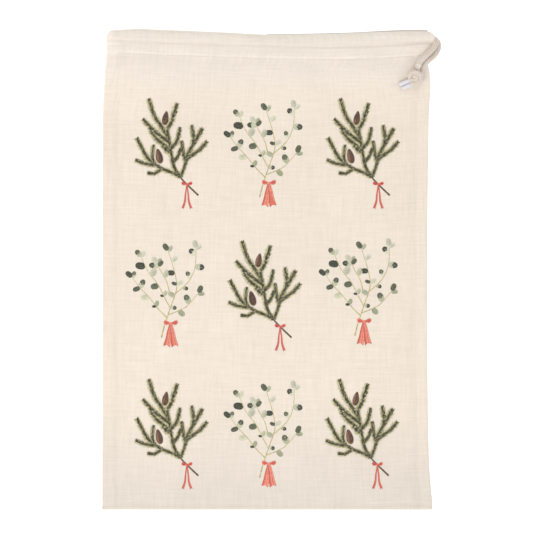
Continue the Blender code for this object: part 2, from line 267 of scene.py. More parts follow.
class Nodes:
    """A material with short ways to add and join its nodes."""

    def __init__(self, name, roughness, sheen=0.0):
        self.material = bpy.data.materials.new(name)
        self.material.use_nodes = True
        self.tree = self.material.node_tree
        self.shader = self.tree.nodes["Principled BSDF"]
        self.surface("Roughness", roughness)
        self.surface("Sheen Weight", sheen)
        self.surface("Sheen Roughness", 0.5)

    def surface(self, key, value):
        self.put(self.shader, key, value)

    def add(self, kind, settings=None, **inputs):
        node = self.tree.nodes.new(kind)
        for key, value in (settings or {}).items():
            setattr(node, key, value)
        for key, value in inputs.items():
            self.put(node, key.replace("_", " "), value)
        return node

    def put(self, node, key, value):
        socket = node.inputs[int(key) if key.isdigit() else key]
        if isinstance(value, bpy.types.NodeSocket):
            self.tree.links.new(value, socket)
        else:
            socket.default_value = value

    def place(self):
        return self.add("ShaderNodeTexCoord").outputs["Object"]

    def flat(self):
        """The place on the flat cloth, in metres."""
        return self.add("ShaderNodeUVMap", {"uv_map": "flat"}).outputs[0]

    def stored(self, name):
        """The number that the mesh stores under this name."""
        return self.add("ShaderNodeAttribute", {"attribute_name": name}).outputs["Fac"]

    def maths(self, operation, *values):
        node = self.add("ShaderNodeMath", {"operation": operation})
        for i, value in enumerate(values):
            self.put(node, str(i), value)
        return node.outputs[0]

    def blend(self, share, a, b, kind="MIX"):
        node = self.add("ShaderNodeMix", {"data_type": "RGBA", "blend_type": kind})
        for key, value in ((0, share), (6, a), (7, b)):
            if isinstance(value, tuple):
                value = (*value[:3], 1.0)
            self.put(node, str(key), value)
        return node.outputs[2]

    def noise(self, vector, scale, detail=2.0, stretch=(1, 1, 1), roughness=0.5):
        mapping = self.add("ShaderNodeMapping", Vector=vector, Scale=stretch)
        settings = {"Scale": scale, "Detail": detail, "Roughness": roughness}
        node = self.add("ShaderNodeTexNoise", Vector=mapping.outputs[0], **settings)
        return node.outputs["Fac"]

    def ramp(self, value, low, high, out_low=0.0, out_high=1.0):
        node = self.add("ShaderNodeMapRange", {"interpolation_type": "SMOOTHSTEP"})
        for key, v in zip("01234", (value, low, high, out_low, out_high)):
            self.put(node, key, v)
        return node.outputs[0]

    def bumps(self, height, distance, strength):
        node = self.add("ShaderNodeBump", Height=height, Distance=distance, Strength=strength)
        return node.outputs[0]

    def finish(self, colour, normal=None, roughness=None):
        inputs = {"Base Color": colour, "Normal": normal, "Roughness": roughness}
        for key, socket in inputs.items():
            if socket is not None:
                self.surface(key, socket)
        return self.material


WEAVE_PITCH = 0.00052  # from one thread of the cloth to the next, metres


def weave_height(n, flat):
    """Plain weave: warp and weft threads passing over and under each other."""
    split = n.add("ShaderNodeSeparateXYZ", Vector=flat)
    waves = []
    for axis, stretch in enumerate(((1, 0.12, 1), (0.12, 1, 1))):
        wobble = n.maths("MULTIPLY", n.noise(flat, 900, 1.0, stretch), 1.8)
        place = n.maths("MULTIPLY_ADD", split.outputs[axis], math.pi / WEAVE_PITCH, wobble)
        waves.append(n.maths("SINE", place))
    over = n.maths("MULTIPLY_ADD", n.maths("MULTIPLY", *waves), 0.5, 0.5)
    warp, weft = (n.maths("ABSOLUTE", wave) for wave in waves)
    low = n.maths("MULTIPLY", n.maths("SUBTRACT", 1.0, over), weft)
    return n.maths("ADD", n.maths("MULTIPLY", over, warp), low)


def darker(colour, share):
    return tuple(c * share for c in colour)


def cotton(name, colour):
    """Unbleached plain-weave cotton with slubs and specks; the mesh stores its tones."""
    n = Nodes(name, 0.92, 0.12)
    flat = n.flat()
    weave = weave_height(n, flat)
    # thicker yarns here and there, along both directions of the weave
    weft = n.ramp(n.noise(flat, 1.0, 3.0, (28, 1500, 1), 0.6), 0.54, 0.74)
    warp = n.ramp(n.noise(flat, 1.0, 3.0, (1300, 24, 1), 0.6), 0.55, 0.75)
    cloud = n.noise(flat, 14, 3.0)
    fine = n.noise(flat, 420, 3.0, (1, 1, 1), 0.7)
    specks = n.noise(flat, 620, 1.0)
    yellower = (colour[0], colour[1] * 0.94, colour[2] * 0.86)
    shade = n.blend(n.ramp(cloud, 0.3, 0.7), darker(colour, 0.975), colour)
    for share, other in (
        (n.maths("MULTIPLY", weft, 0.42), yellower),
        (n.maths("MULTIPLY", warp, 0.34), darker(colour, 0.9)),
        (n.ramp(fine, 0.35, 0.65, 0.05, 0.0), darker(colour, 0.6)),
        # painted shade in the gaps between the threads
        (n.ramp(weave, 0.0, 0.6, 0.22, 0.0), darker(colour, 0.6)),
        (n.ramp(specks, 0.775, 0.80, 0.0, 0.5), ink(168, 132, 92)),
    ):
        shade = n.blend(share, shade, other)
    # the stored cool tint and tone hold painted light and shade as well as the lighter layered bands
    shade = n.blend(n.stored("cool"), shade, (0.955, 1.0, 1.06), "MULTIPLY")
    streaks = (n.noise(flat, 1.0, 2.0, stretch) for stretch in ((40, 560, 1), (560, 40, 1)))
    grain = n.maths("MULTIPLY_ADD", n.maths("ADD", *streaks), 0.16, 0.84)
    level = n.maths("MULTIPLY", n.maths("MULTIPLY_ADD", n.stored("tone"), 0.1, 1.0), grain)
    scaled = n.add("ShaderNodeVectorMath", {"operation": "SCALE"}, Scale=level)
    n.put(scaled, "0", shade)
    height = n.maths("ADD", weave, n.maths("MULTIPLY", n.maths("ADD", weft, warp), 0.9))
    rough = n.ramp(fine, 0.3, 0.7, 0.86, 0.96)
    return n.finish(scaled.outputs[0], n.bumps(height, 0.0001, 0.6), rough)


def printed():
    """Printing ink that has sunk into the cloth."""
    n = Nodes("printed_cotton_ink", 0.9, 0.05)
    flat = n.flat()
    colour = n.add("ShaderNodeVertexColor", {"layer_name": "ink"}).outputs[0]
    weave = weave_height(n, flat)
    patchy = n.noise(flat, 900, 2.0, (1, 1, 1), 0.6)
    shade = n.blend(n.ramp(patchy, 0.42, 0.72, 0.0, 0.14), colour, ink(238, 226, 208))
    # painted shade in the gaps between the threads
    shade = n.blend(n.ramp(weave, 0.0, 0.5, 0.14, 0.0), shade, ink(60, 54, 44))
    return n.finish(shade, n.bumps(weave, 0.00005, 0.4))


def braid_material():
    """Soft cotton cord, darker in the grooves between its strands."""
    n = Nodes("cord_cotton", 0.88, 0.15)
    fibre = n.noise(n.place(), 3800, 3.0)
    patch = n.noise(n.place(), 90, 2.0)
    base = n.blend(n.ramp(patch, 0.3, 0.7), ink(238, 227, 213), ink(246, 238, 228))
    base = n.blend(n.ramp(fibre, 0.35, 0.6, 0.16, 0.0), base, ink(186, 166, 143))
    # painted shade in the grooves between the strands, where the stored height is low
    base = n.blend(n.ramp(n.stored("tone"), 0.6, 0.0, 0.0, 0.95), base, ink(146, 116, 90))
    return n.finish(base, n.bumps(fibre, 0.00012, 0.5))


def thread_material(name, colour):
    n = Nodes(name, 0.7, 0.1)
    ply = n.noise(n.place(), 5200, 2.0)
    shade = n.blend(n.ramp(ply, 0.35, 0.65), darker(colour, 0.82), colour)
    return n.finish(shade, n.bumps(ply, 0.00005, 0.5))


def aglet_material():
    """Smooth white plastic."""
    n = Nodes("aglet_plastic", 0.24)
    n.surface("Coat Weight", 0.4)
    n.surface("Coat Roughness", 0.12)
    dust = n.noise(n.place(), 900, 3.0)
    shade = n.blend(n.ramp(dust, 0.35, 0.7), ink(226, 224, 230), ink(231, 230, 235))
    return n.finish(shade, n.bumps(dust, 0.00001, 0.2), n.ramp(dust, 0.3, 0.7, 0.18, 0.34))


cotton_material = cotton("calico", ink(242, 230, 215))
ink_material = printed()
cord_material = braid_material()
thread_cotton = thread_material("sewing_thread", ink(238, 228, 212))
plastic = aglet_material()


# ---- camera and light
scene = bpy.context.scene
scene.view_settings.view_transform = "Standard"
scene.view_settings.look = "None"
scene.view_settings.exposure = 0.0
scene.view_settings.gamma = 1.0

CAMERA_DISTANCE = 3.2
VIEW_WIDTH = 0.45305  # seen across the table
VIEW_MIDDLE = (-0.0004, 0.00255)
camera_data = bpy.data.cameras.new("camera")
camera_data.sensor_width = 36.0
camera_data.lens = 36.0 * CAMERA_DISTANCE / VIEW_WIDTH
camera_data.clip_end = 20.0
camera = bpy.data.objects.new("camera", camera_data)
camera.location = (*VIEW_MIDDLE, CAMERA_DISTANCE)
scene.collection.objects.link(camera)
scene.camera = camera

world = bpy.data.worlds.new("studio")
world.use_nodes = True
background = world.node_tree.nodes["Background"]
background.inputs["Color"].default_value = (1.0, 0.99, 0.985, 1.0)
background.inputs["Strength"].default_value = 1.12
scene.world = world


def softbox(name, place, size, brightness):
    """A large square lamp aimed at the middle of the floor."""
    light = bpy.data.lights.new(name, "AREA")
    light.shape = "SQUARE"
    light.size = size
    light.energy = brightness
    lamp = bpy.data.objects.new(name, light)
    lamp.location = place
    lamp.rotation_mode = "QUATERNION"
    lamp.rotation_quaternion = (-Vector(place)).to_track_quat("-Z", "Y")
    scene.collection.objects.link(lamp)


softbox("key_light", (-1.5, -1.7, 1.9), 1.3, 30.0)

FLOOR_HALF = 4000.0
FLOOR_Z = -0.1
floor_nodes = Nodes("studio_floor", 0.6)
floor_noise = floor_nodes.noise(floor_nodes.place(), 3.0, 2.0)
floor_white = floor_nodes.blend(floor_noise, (0.86, 0.86, 0.86), (0.88, 0.88, 0.88))
floor_nodes.surface("Emission Color", (1.0, 1.0, 1.0, 1.0))
floor_nodes.surface("Emission Strength", 0.42)
floor_corners = [
    (x * FLOOR_HALF, y * FLOOR_HALF, FLOOR_Z) for x, y in ((-1, -1), (1, -1), (1, 1), (-1, 1))
]
floor = mesh_object(
    "studio_floor", floor_corners, [(0, 1, 2, 3)], floor_nodes.finish(floor_white)
)

# ---- cords
FRONT_TAIL = [
    (137.8, 195.2, 14.8), (140.5, 195.1, 14.8), (142.4, 193.6, 14.9), (142.5, 190.8, 15.2),
    (140.2, 187.2, 15.8), (136.0, 182.6, 16.6), (131.8, 178.6, 17.0), (128.9, 175.0, 17.0),
    (127.8, 171.8, 16.9),
]
BACK_TAIL = [
    (137.8, 196.2, 3.4), (140.6, 196.2, 3.4), (143.6, 194.4, 3.6), (145.2, 191.4, 4.4),
    (145.2, 187.8, 6.0), (143.6, 184.2, 8.2), (140.6, 180.6, 10.2), (137.0, 177.6, 11.8),
    (133.8, 174.4, 12.4), (131.6, 170.8, 12.4),
]
# Inside the casings: back to the left, round the turn and forward to the right.
BACK_RUN = [
    (137.1, 196.2), (125.0, 196.5), (90.0, 196.2), (45.0, 194.0), (0.0, 191.5),
    (-50.0, 190.0), (-100.0, 189.7),
]
FRONT_RUN = [
    (-112.0, 199.9), (-85.0, 199.3), (-40.0, 197.3), (0.0, 195.3), (60.0, 196.0),
    (95.0, 196.6), (120.0, 196.0), (137.1, 195.3),
]
STRANDS = 8  # of the braid, in each direction
ADVANCE = 2.4  # along the cord, while a strand goes one eighth of the way round


def braid(name, route, radius, spacing=0.3, around=48, start=0.0, swell=0.0):
    """A tube of interlaced strands along a route, and the route's even points.

    `swell` is how much thicker it starts, over its first few millimetres.
    """
    points = spline(route, spacing)
    s = (start + reach_along(points))[:, None]
    turn = np.linspace(0, 1, around, endpoint=False)[None, :]
    a = STRANDS * turn + s / ADVANCE
    b = STRANDS * turn - s / ADVANCE
    over = (np.floor(a) + np.floor(b)) % 2 < 0.5
    across_a = np.cos(math.pi * (a % 1.0 - 0.5))
    across_b = np.cos(math.pi * (b % 1.0 - 0.5))
    height = np.where(over, across_a, across_b)
    height = height * (0.5 + 0.5 * np.where(over, across_b, across_a))
    radius = radius + swell * (1 - smooth(s - start, 0, 5))
    verts, faces = tube_mesh(points, radius * (0.865 + 0.155 * height), around)
    # the height is also stored so that the cord material paints shade in the grooves
    return mesh_object(name, verts, faces, cord_material, tone=height), points


def drawstring_piece(piece, cad_name=None):
    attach(piece, "drawstring")
    if cad_name:
        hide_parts(cad_name)


inside = [(x, y, BACK_CORD_Z) for x, y in BACK_RUN]
for share in np.linspace(0, 1, 9):
    turn = math.pi * (share - 0.5)
    x, z = TURN_X - TURN_R * math.cos(turn), TURN_Z + TURN_R * math.sin(turn)
    inside.append((x, TURN_Y[0] + (TURN_Y[1] - TURN_Y[0]) * share, z))
inside += [(x, y, FRONT_CORD_Z) for x, y in FRONT_RUN]
inner_cord, _ = braid("cord_inside_casing", inside, CORD_R, 1.0, 24)
front_tail, front_points = braid("cord_front_tail", FRONT_TAIL, CORD_R)
back_tail, back_points = braid("cord_back_tail", BACK_TAIL, CORD_R, start=0.7)
drawstring_piece(inner_cord, "drawstring_cord")
drawstring_piece(front_tail, "front_tail_cord")
drawstring_piece(back_tail, "back_tail_cord")

# The overhand knot: both tails side by side follow one path. Each row is a point of
# that path and the half step from it to the back tail's strand.
KNOT = np.array([126.0, 162.3, 14.4])
KNOT_PATH = [
    ((4.35, 10.35, 0.28), (2.05, -0.55, -2.28)),
    ((3.7, 9.0, 0.25), (1.9, -0.5, -2.25)),
    ((2.6, 5.8, -0.7), (1.6, -0.6, -1.3)),
    ((1.2, 2.6, -1.6), (1.2, -0.9, -0.3)),
    ((-0.9, 1.2, -2.1), (0.5, -1.5, 0.0)),
    ((-3.0, 1.0, -1.6), (-0.5, -1.5, -0.2)),
    ((-3.9, 2.0, 0.6), (-1.3, -0.6, 0.7)),
    ((-2.4, 2.8, 2.6), (-0.8, 1.3, 0.6)),
    ((0.2, 2.6, 3.2), (0.2, 1.6, 0.5)),
    ((2.1, 1.1, 2.7), (1.5, 0.8, 0.3)),
    ((2.2, -1.4, 1.8), (1.6, -0.3, 0.0)),
    ((1.2, -3.1, 1.4), (1.0, -1.4, -0.1)),
    ((-0.5, -3.5, 1.0), (0.1, -1.7, 0.0)),
    ((-2.3, -3.4, 0.4), (-0.2, -1.7, 0.1)),
    ((-3.6, -3.35, -0.6), (0.2, -1.7, 0.0)),
]
knot_centre = np.array([point for point, _ in KNOT_PATH]) + KNOT
knot_half = np.array([half for _, half in KNOT_PATH])
front_route, back_route = knot_centre - knot_half, knot_centre + knot_half
front_strand, _ = braid("knot_front_strand", front_route, KNOT_R, start=4.0, swell=0.4)
back_strand, _ = braid("knot_back_strand", back_route, KNOT_R, start=5.0, swell=0.4)
drawstring_piece(front_strand, "cord_knot")
drawstring_piece(back_strand)


# ---- the cloth's shape
def puckers(x):
    """Small gathers of the cloth along the casing's stitch line."""
    fine = 0.10 * np.sin(x / 4.6 * 2 * math.pi + 1.5 * np.sin(x / 17.0))
    return fine + 0.22 * np.sin(x / 13.0 + 2.0 * np.sin(x / 41.0))


FLAT_Z = 2.65  # middle of the front panel's cloth near the side edges
PUFF = 3.6  # how much higher it lies in the middle of the pouch
MOUTH_Z = 12.35  # and where it meets the casing


def body_height(x, y):
    """Middle of the front panel's cloth, in mm above the table."""
    side = np.minimum(x - along(LEFT_EDGE, y), along(RIGHT_EDGE, y) - x)
    puff = smooth(side, 9, 60) * smooth(y - BOTTOM, 5, 60)
    waves = 0.42 * ripples(x, y, 5, 7, 130, 60) + 0.12 * ripples(x, y, 11, 9, 45, 18)
    body = FLAT_Z + PUFF * puff
    # it sinks beside the seam allowances and above the bottom fold
    body = body - 0.28 * bump(side, 12.2, 2.6) * smooth(y, -200, -192)
    body = body + puff * waves - 0.35 * bump(y - BOTTOM, 4.0, 2.2)
    mouth = MOUTH_Z + 0.3 * ripples(x, y, 21, 5, 110, 50)
    gather = smooth(y, 152, 180)
    return mix(body, mouth, smooth(y, *MOUTH_RAMP)) + gather**2 * puckers(x)


def back_fold(x):
    """How much further the back casing's fold reaches than the front's."""
    return mix(-0.5, 1.6, smooth(x, -9, 3)) + 0.5 * smooth(x, 70, 120)


# A casing's cross-section, from the stitch line over the fold and back to the hem. Each
# point is (0 if measured from the stitch line, 1 if from the fold; offset in Y; height).
FRONT_SECTION = [
    (0, 0.0, 12.6), (0, 1.0, 12.95), (0, 2.2, 13.2), (0, 5.0, 13.25), (1, -12.4, 13.3),
    (1, -10.8, 13.7), (1, -9.2, 15.6), (1, -7.6, 17.6), (1, -6.0, 18.0), (1, -4.0, 18.15),
    (1, -2.0, 17.8), (1, -0.7, 17.0), (1, 0.0, 15.3), (1, -0.3, 13.3), (1, -1.5, 12.0),
    (1, -4.0, 11.65), (0, 5.0, 11.65), (0, 0.0, 11.6), (0, -1.1, 11.75), (0, -0.9, 12.1),
    (0, 1.0, 12.2), (0, 7.5, 12.2),
]
BACK_SECTION = [
    (0, 0.0, 0.25), (0, 5.0, 0.25), (1, -9.0, 0.25), (1, -3.6, 0.3), (1, -1.6, 0.9),
    (1, -0.3, 2.6), (1, -0.5, 4.8), (1, -2.2, 6.3), (1, -5.0, 6.55), (0, 7.8, 6.5),
    (0, 5.0, 5.4), (0, 2.8, 2.6), (0, 1.2, 1.4), (0, 0.0, 1.2), (0, -1.1, 1.05),
    (0, -0.9, 0.75), (0, 1.0, 0.72), (0, 3.5, 0.72),
]
# How many rows of the cloth there are from each point to the next.
FRONT_STEPS = [3, 2, 3, 3, 3, 4, 4, 4, 4, 4, 4, 4, 3, 3, 3, 3, 3, 2, 3, 2, 2]
BACK_STEPS = [2, 2, 2, 3, 3, 3, 3, 3, 3, 3, 2, 3, 2, 2, 2, 2, 2]


def section_rows(section, steps, inner_side):
    """Finer rows of a section: share of the fold, offset, height, the direction (Y, Z)
    towards the casing's inside and the share of the way round to the inner layer.

    The inside lies above the section's first rows if `inner_side` is 1, below if -1.
    """
    points = np.array(section, dtype=float)
    ends = with_ends(points)
    rows = []
    for i, count in enumerate(steps):
        rows += [curve(*ends[i : i + 4], k / count) for k in range(count)]
    rows = np.array([*rows, points[-1]])
    yz = np.stack([rows[:, 0] * CASING_DEPTH + rows[:, 1], rows[:, 2]], axis=1)
    tangent = unit(np.gradient(yz, axis=0))
    inward = np.stack([tangent[:, 1], -tangent[:, 0]], axis=1)
    if inward[2, 1] * inner_side < 0:
        inward = -inward
    apex = int(np.argmax(yz[:, 0]))
    spread = smooth(np.arange(len(rows)), apex - 9, apex + 9)
    return np.column_stack([rows, inward, spread])


front_rows = section_rows(FRONT_SECTION, FRONT_STEPS, -1)
back_rows = section_rows(BACK_SECTION, BACK_STEPS, 1)

TURNED_SHARES = np.array([1.0, 0.72, 0.45, 0.18, 0.035])  # of the allowance, raw edge first
TURNED = len(TURNED_SHARES)  # columns in each turned-in allowance
CURL = 8  # columns in each rounded side edge
MIDDLE = 124  # columns in the flat cloth between the side edges
# How far below the stitch line the front panel's rows lie: closer together near both ends.
FRONT_REACH = np.concatenate(
    [np.linspace(0, 26, 19)[1:], np.linspace(26, 372, 109)[1:], np.linspace(372, PANEL_LENGTH, 9)[1:]]
)
BACK_REACH = np.linspace(PANEL_LENGTH, 0, 66)[:-1]
# At the side seams: the first number holds low on the pouch, the second at its mouth.
CURL_WIDTH = (1.5, 8.4)
FRONT_SEAM_Z = (1.85, 9.25)
BACK_SEAM_Z = (0.75, 8.95)
OPENING = (172.5, 180.0)  # Y between which the right side leaves its seam
CLOSED_ALLOWANCE = 1.4  # turned in at the casing's closed end
OPEN_ALLOWANCE = 6.5  # turned in at its open end


def edge_columns(x_edge, inward, width, allowance):
    """Columns of one side edge, from the raw edge to the start of the flat cloth.

    Returns X (rows, columns), how far each column has curled towards the seam, and
    1 for the columns of the turned-in allowance.
    """
    t = np.linspace(1, 0, CURL + 1)[:-1] * math.pi / 2
    curl_x = x_edge[:, None] + inward * width[:, None] * (1 - np.sin(t))
    turned_x = x_edge[:, None] + inward * (0.05 + allowance[:, None] * TURNED_SHARES)
    curled = np.concatenate([np.zeros(TURNED), 1 - np.cos(t)])[None, :]
    turned = np.concatenate([np.ones(TURNED), np.zeros(CURL)])[None, :]
    return np.concatenate([turned_x, curl_x], axis=1), curled, turned


def build_cloth():
    """The whole length of cloth, hem to hem round the bottom, as rows x columns points,
    and the name of the part that each row belongs to."""
    rows = [("front casing", numbers) for numbers in front_rows[::-1]]
    rows += [("front", reach) for reach in FRONT_REACH]
    rows += [("bottom", turn) for turn in np.linspace(0, math.pi, 13)]
    rows += [("back", reach) for reach in BACK_REACH]
    rows += [("back casing", numbers) for numbers in back_rows]
    total = len(rows)
    kind = np.array([name for name, _ in rows])
    is_front_casing, is_back_casing = kind == "front casing", kind == "back casing"
    casing = is_front_casing | is_back_casing
    front_side = (kind == "front") | is_front_casing
    bottom = kind == "bottom"

    fold_share, panel_share, offset, height = (np.zeros(total) for _ in range(4))
    inward_y, inward_z, spread = (np.zeros(total) for _ in range(3))
    for i, (name, value) in enumerate(rows):
        if casing[i]:
            fold_share[i], offset[i], height[i], inward_y[i], inward_z[i], spread[i] = value
        elif bottom[i]:
            panel_share[i] = 1.0
            offset[i] = -BOTTOM_R * math.sin(value)
            height[i] = CLOTH / 2 + BOTTOM_R + BOTTOM_R * math.cos(value)
            inward_y[i], inward_z[i] = math.sin(value), -math.cos(value)
        else:
            panel_share[i] = value / PANEL_LENGTH
            height[i] = CLOTH / 2
            inward_z[i] = -1 if name == "front" else 1
    stitch_share = 1 - fold_share - panel_share

    def row_y(x):
        """Y of every row at X (rows, columns)."""
        fold = along(TOP_FOLD, x) + np.where(is_back_casing[:, None], back_fold(x), 0.0)
        y = stitch_share[:, None] * along(STITCH_LINE, x) + fold_share[:, None] * fold
        return y + panel_share[:, None] * (BOTTOM + BOTTOM_R) + offset[:, None]

    def row_z(x, y):
        """Height of every row at X and Y, with the casing's own unevenness."""
        z = np.broadcast_to(height[:, None], y.shape).copy()
        z[kind == "front"] = body_height(x, y)[kind == "front"]
        depth = (y - along(STITCH_LINE, x)) / CASING_DEPTH
        lower = smooth(depth, 0.55, 0.0)
        wave = 0.3 * ripples(x, y * 2.0, 31, 6, 70, 26) + 0.12 * ripples(x, y, 37, 7, 24, 9)
        # short folds across the casing near both its ends
        bars = 0.7 * bump(x, -124.0, 2.6) + 0.8 * bump(x, -117.2, 2.4) - 0.5 * bump(x, -120.6, 2.2)
        bars = bars + 0.55 * bump(x, 83.0, 1.8) - 0.3 * bump(x, 79.0, 3.0)
        wave = (wave + bars * smooth(depth, 0.95, 0.4)) * smooth(depth, 0.0, 0.15)
        outer = np.where(is_front_casing, 1 - spread, 0.0)[:, None]
        return z + outer * (puckers(x) * lower**2 + wave)

    def side_edge(edge, inward, open_end):
        """One side edge of every row: its X, the width of its curl, the heights to which it
        curls and tucks in, its allowance and how far its end is open."""
        near = along(edge, np.full(total, 170.0)) + inward * 3.0
        y = row_y(near[:, None])[:, 0]
        edge_x = along(edge, y)
        mouth = smooth(y, *MOUTH_RAMP) * np.where(casing, 0, 1) + casing
        width = mix(*CURL_WIDTH, mouth)
        front_z, back_z = mix(*FRONT_SEAM_Z, mouth), mix(*BACK_SEAM_Z, mouth)
        target = np.where(front_side, front_z, back_z)
        tucked = np.where(front_side, front_z - 0.3, back_z + 0.3)
        allowance = mix(ALLOWANCE, CLOSED_ALLOWANCE, smooth(y, 168, 178) * ~casing + casing)
        width[bottom], allowance[bottom] = 0.6, ALLOWANCE
        target[bottom] = mix(height[bottom], CLOTH / 2 + BOTTOM_R, 0.35)
        tucked[bottom] = mix(height[bottom], CLOTH / 2 + BOTTOM_R, 0.55)
        if open_end:
            opened = np.where(casing, 1.0, smooth(y, *OPENING))
            depth = np.clip((y - along(STITCH_LINE, near)) / CASING_DEPTH, 0, 1)
            edge_x = mix(edge_x, along(CASING_END, depth), casing)
            # the back casing's end stays a little further in than the front's
            edge_x = edge_x - 0.8 * (is_back_casing | (kind == "back")) * opened
            width = mix(width, 0.35, opened)
            allowance = mix(allowance, OPEN_ALLOWANCE, opened)
        else:
            opened = np.zeros(total)
            width = np.where(casing, mix(9.0, 2.5, spread), width)
            edge_x = np.where(casing, mix(edge_x, TURN_X - 2.4, spread), edge_x)
        return edge_x, width, target, tucked, allowance, opened

    left = side_edge(LEFT_EDGE, 1, False)
    right = side_edge(RIGHT_EDGE, -1, True)
    x_start, x_end = left[0] + left[1], right[0] - right[1]
    middle_x = x_start[:, None] + (x_end - x_start)[:, None] * np.linspace(0, 1, MIDDLE)
    middle_y = row_y(middle_x)
    middle_block = np.stack([middle_x, middle_y, row_z(middle_x, middle_y)], axis=-1)

    def edge_block(numbers, inward, at_column):
        """The columns of one side edge, from the raw edge to the flat cloth."""
        edge_x, width, target, tucked, allowance, opened = numbers
        x, curled, turned = edge_columns(edge_x, inward, width, allowance)
        y = row_y(np.broadcast_to(middle_x[:, at_column][:, None], x.shape))
        # heights are read at the nearest flat column
        z = row_z(np.clip(x, x_start[:, None], x_end[:, None]), y)
        open_y, open_z = (inward_y * opened)[:, None], (inward_z * opened)[:, None]
        closed = (1 - opened)[:, None]
        to_target, to_tucked = closed * (target[:, None] - z), closed * (tucked[:, None] - z)
        z = z + curled * (to_target + 0.33 * open_z) + turned * (to_tucked + 0.66 * open_z)
        y = y + (0.33 * curled + 0.66 * turned) * open_y
        return np.stack([x, y, z], axis=-1)

    right_block = edge_block(right, -1, -1)[:, ::-1]
    points = np.concatenate([edge_block(left, 1, 0), middle_block, right_block], axis=1)
    # the casing's left corner is rounded
    x, y = points[casing, :, 0], points[casing, :, 1]
    t = np.clip((x - float(along(LEFT_EDGE, 195.0))) / 5.5, 0, 1)
    above = np.maximum(y - along(STITCH_LINE, x), 0)
    points[casing, :, 1] = y - above * 0.27 * (1 - np.sqrt(1 - (1 - t) ** 2))
    return points, kind


cloth_points, row_kind = build_cloth()


def cloth_uv(points):
    """Where each point lies on the flat cloth, in metres."""
    across = np.linalg.norm(np.diff(points, axis=1), axis=2).mean(axis=0)
    down = np.linalg.norm(np.diff(points, axis=0), axis=2)[:, TURNED + CURL : -TURNED - CURL]
    u = np.concatenate(([0.0], np.cumsum(across)))
    v = np.concatenate(([0.0], np.cumsum(down.mean(axis=1))))
    grid = np.stack(np.meshgrid(u, v), axis=-1) * MM
    return grid.reshape(-1, 2), (float(u[-1]) * MM, float(v[-1]) * MM)


def cloth_tone(points):
    """How light and how cool the cloth is at each point.

    More layers lie under the seam allowances and the hem, which makes them lighter; just
    below the casing the cloth is a little duller. Painted shade darkens the creases beside
    the allowances and under the casing's ridge, the bottom fold, the cloth towards the foot
    and the back layer above the front fold; painted highlights brighten the casing's lip
    along the stitch line and its bulging lower half near the open end.
    """
    x, y = points[..., 0], points[..., 1]
    left, right = x - along(LEFT_EDGE, y), along(RIGHT_EDGE, y) - x
    side = np.minimum(left, right)
    depth = (y - along(STITCH_LINE, x)) / CASING_DEPTH
    panel = smooth(depth, 0.01, -0.01)
    casing = 1 - panel
    band = smooth(side, 0.3, 1.5) * smooth(side, 9.8, 8.2) * panel
    # painted shade in the groove beside each allowance's raw edge
    tone = 0.34 + 0.06 * band - 0.36 * bump(side, 11.0, 2.6) * panel
    tone = tone - 0.15 * smooth(right, 24, 11) * smooth(right, 8, 11) * panel
    # painted highlight on the casing's lip just above the stitch line
    tone = tone + 0.45 * bump(depth, 0.055, 0.07) * casing
    tone = tone + 0.38 * smooth(depth, 0.02, 0.08) * smooth(depth, 0.50, 0.40)
    # painted shade in the crease below the casing's cord ridge; the ridge above is a little darker
    tone = tone - 0.85 * bump(depth, 0.50, 0.10) - 0.12 * smooth(depth, 0.55, 0.66)
    tone = tone - 0.35 * (bump(x, -117.8, 1.1) + bump(x, -124.2, 1.1)) * casing
    # painted light on the casing's bulging lower half near its open end
    tone = tone + 0.5 * smooth(x, 112, 132) * smooth(depth, 0.5, 0.35) * casing
    under = smooth(y, 145, 172) * panel
    # painted shade: darker and cooler towards the foot, with a line of painted shade just above the
    # bottom fold
    foot = smooth(y, -105, -196)
    tone = tone + 0.05 * under - 0.98 * foot - 0.5 * bump(y, BOTTOM + 3.4, 1.3) * panel
    # painted shadow: the back layer, lying lower in the front fold's shade, shows as a darker line
    # above it
    back_shadow = (row_kind == "back casing")[:, None] * smooth(y - along(TOP_FOLD, x), -0.7, 0.1)
    tone = tone - (2.5 + 0.7 * smooth(x, 70, 120)) * back_shadow * smooth(x, -12, 8)
    cool = 0.45 * under + 0.40 * foot + 0.55 * casing
    return tone.reshape(-1), cool.reshape(-1)


flat_uv, flat_size = cloth_uv(cloth_points)
cloth_verts, cloth_faces = shell(cloth_points, CLOTH)
tone, cool = cloth_tone(cloth_points)
cloth = mesh_object(
    "pouch_cloth",
    cloth_verts,
    cloth_faces,
    cotton_material,
    uv=np.concatenate([flat_uv, flat_uv]),
    tone=np.tile(tone, 2),
    cool=np.tile(cool, 2),
)
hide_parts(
    "front_panel", "back_panel", "bottom_fold", "front_casing", "back_casing",
    "casing_left_turn", "left_seam_allowance", "right_seam_allowance",
)

# ---- aglets
AGLET_WALL = 0.35
AGLET_AROUND = 36
AGLET_RINGS = 60


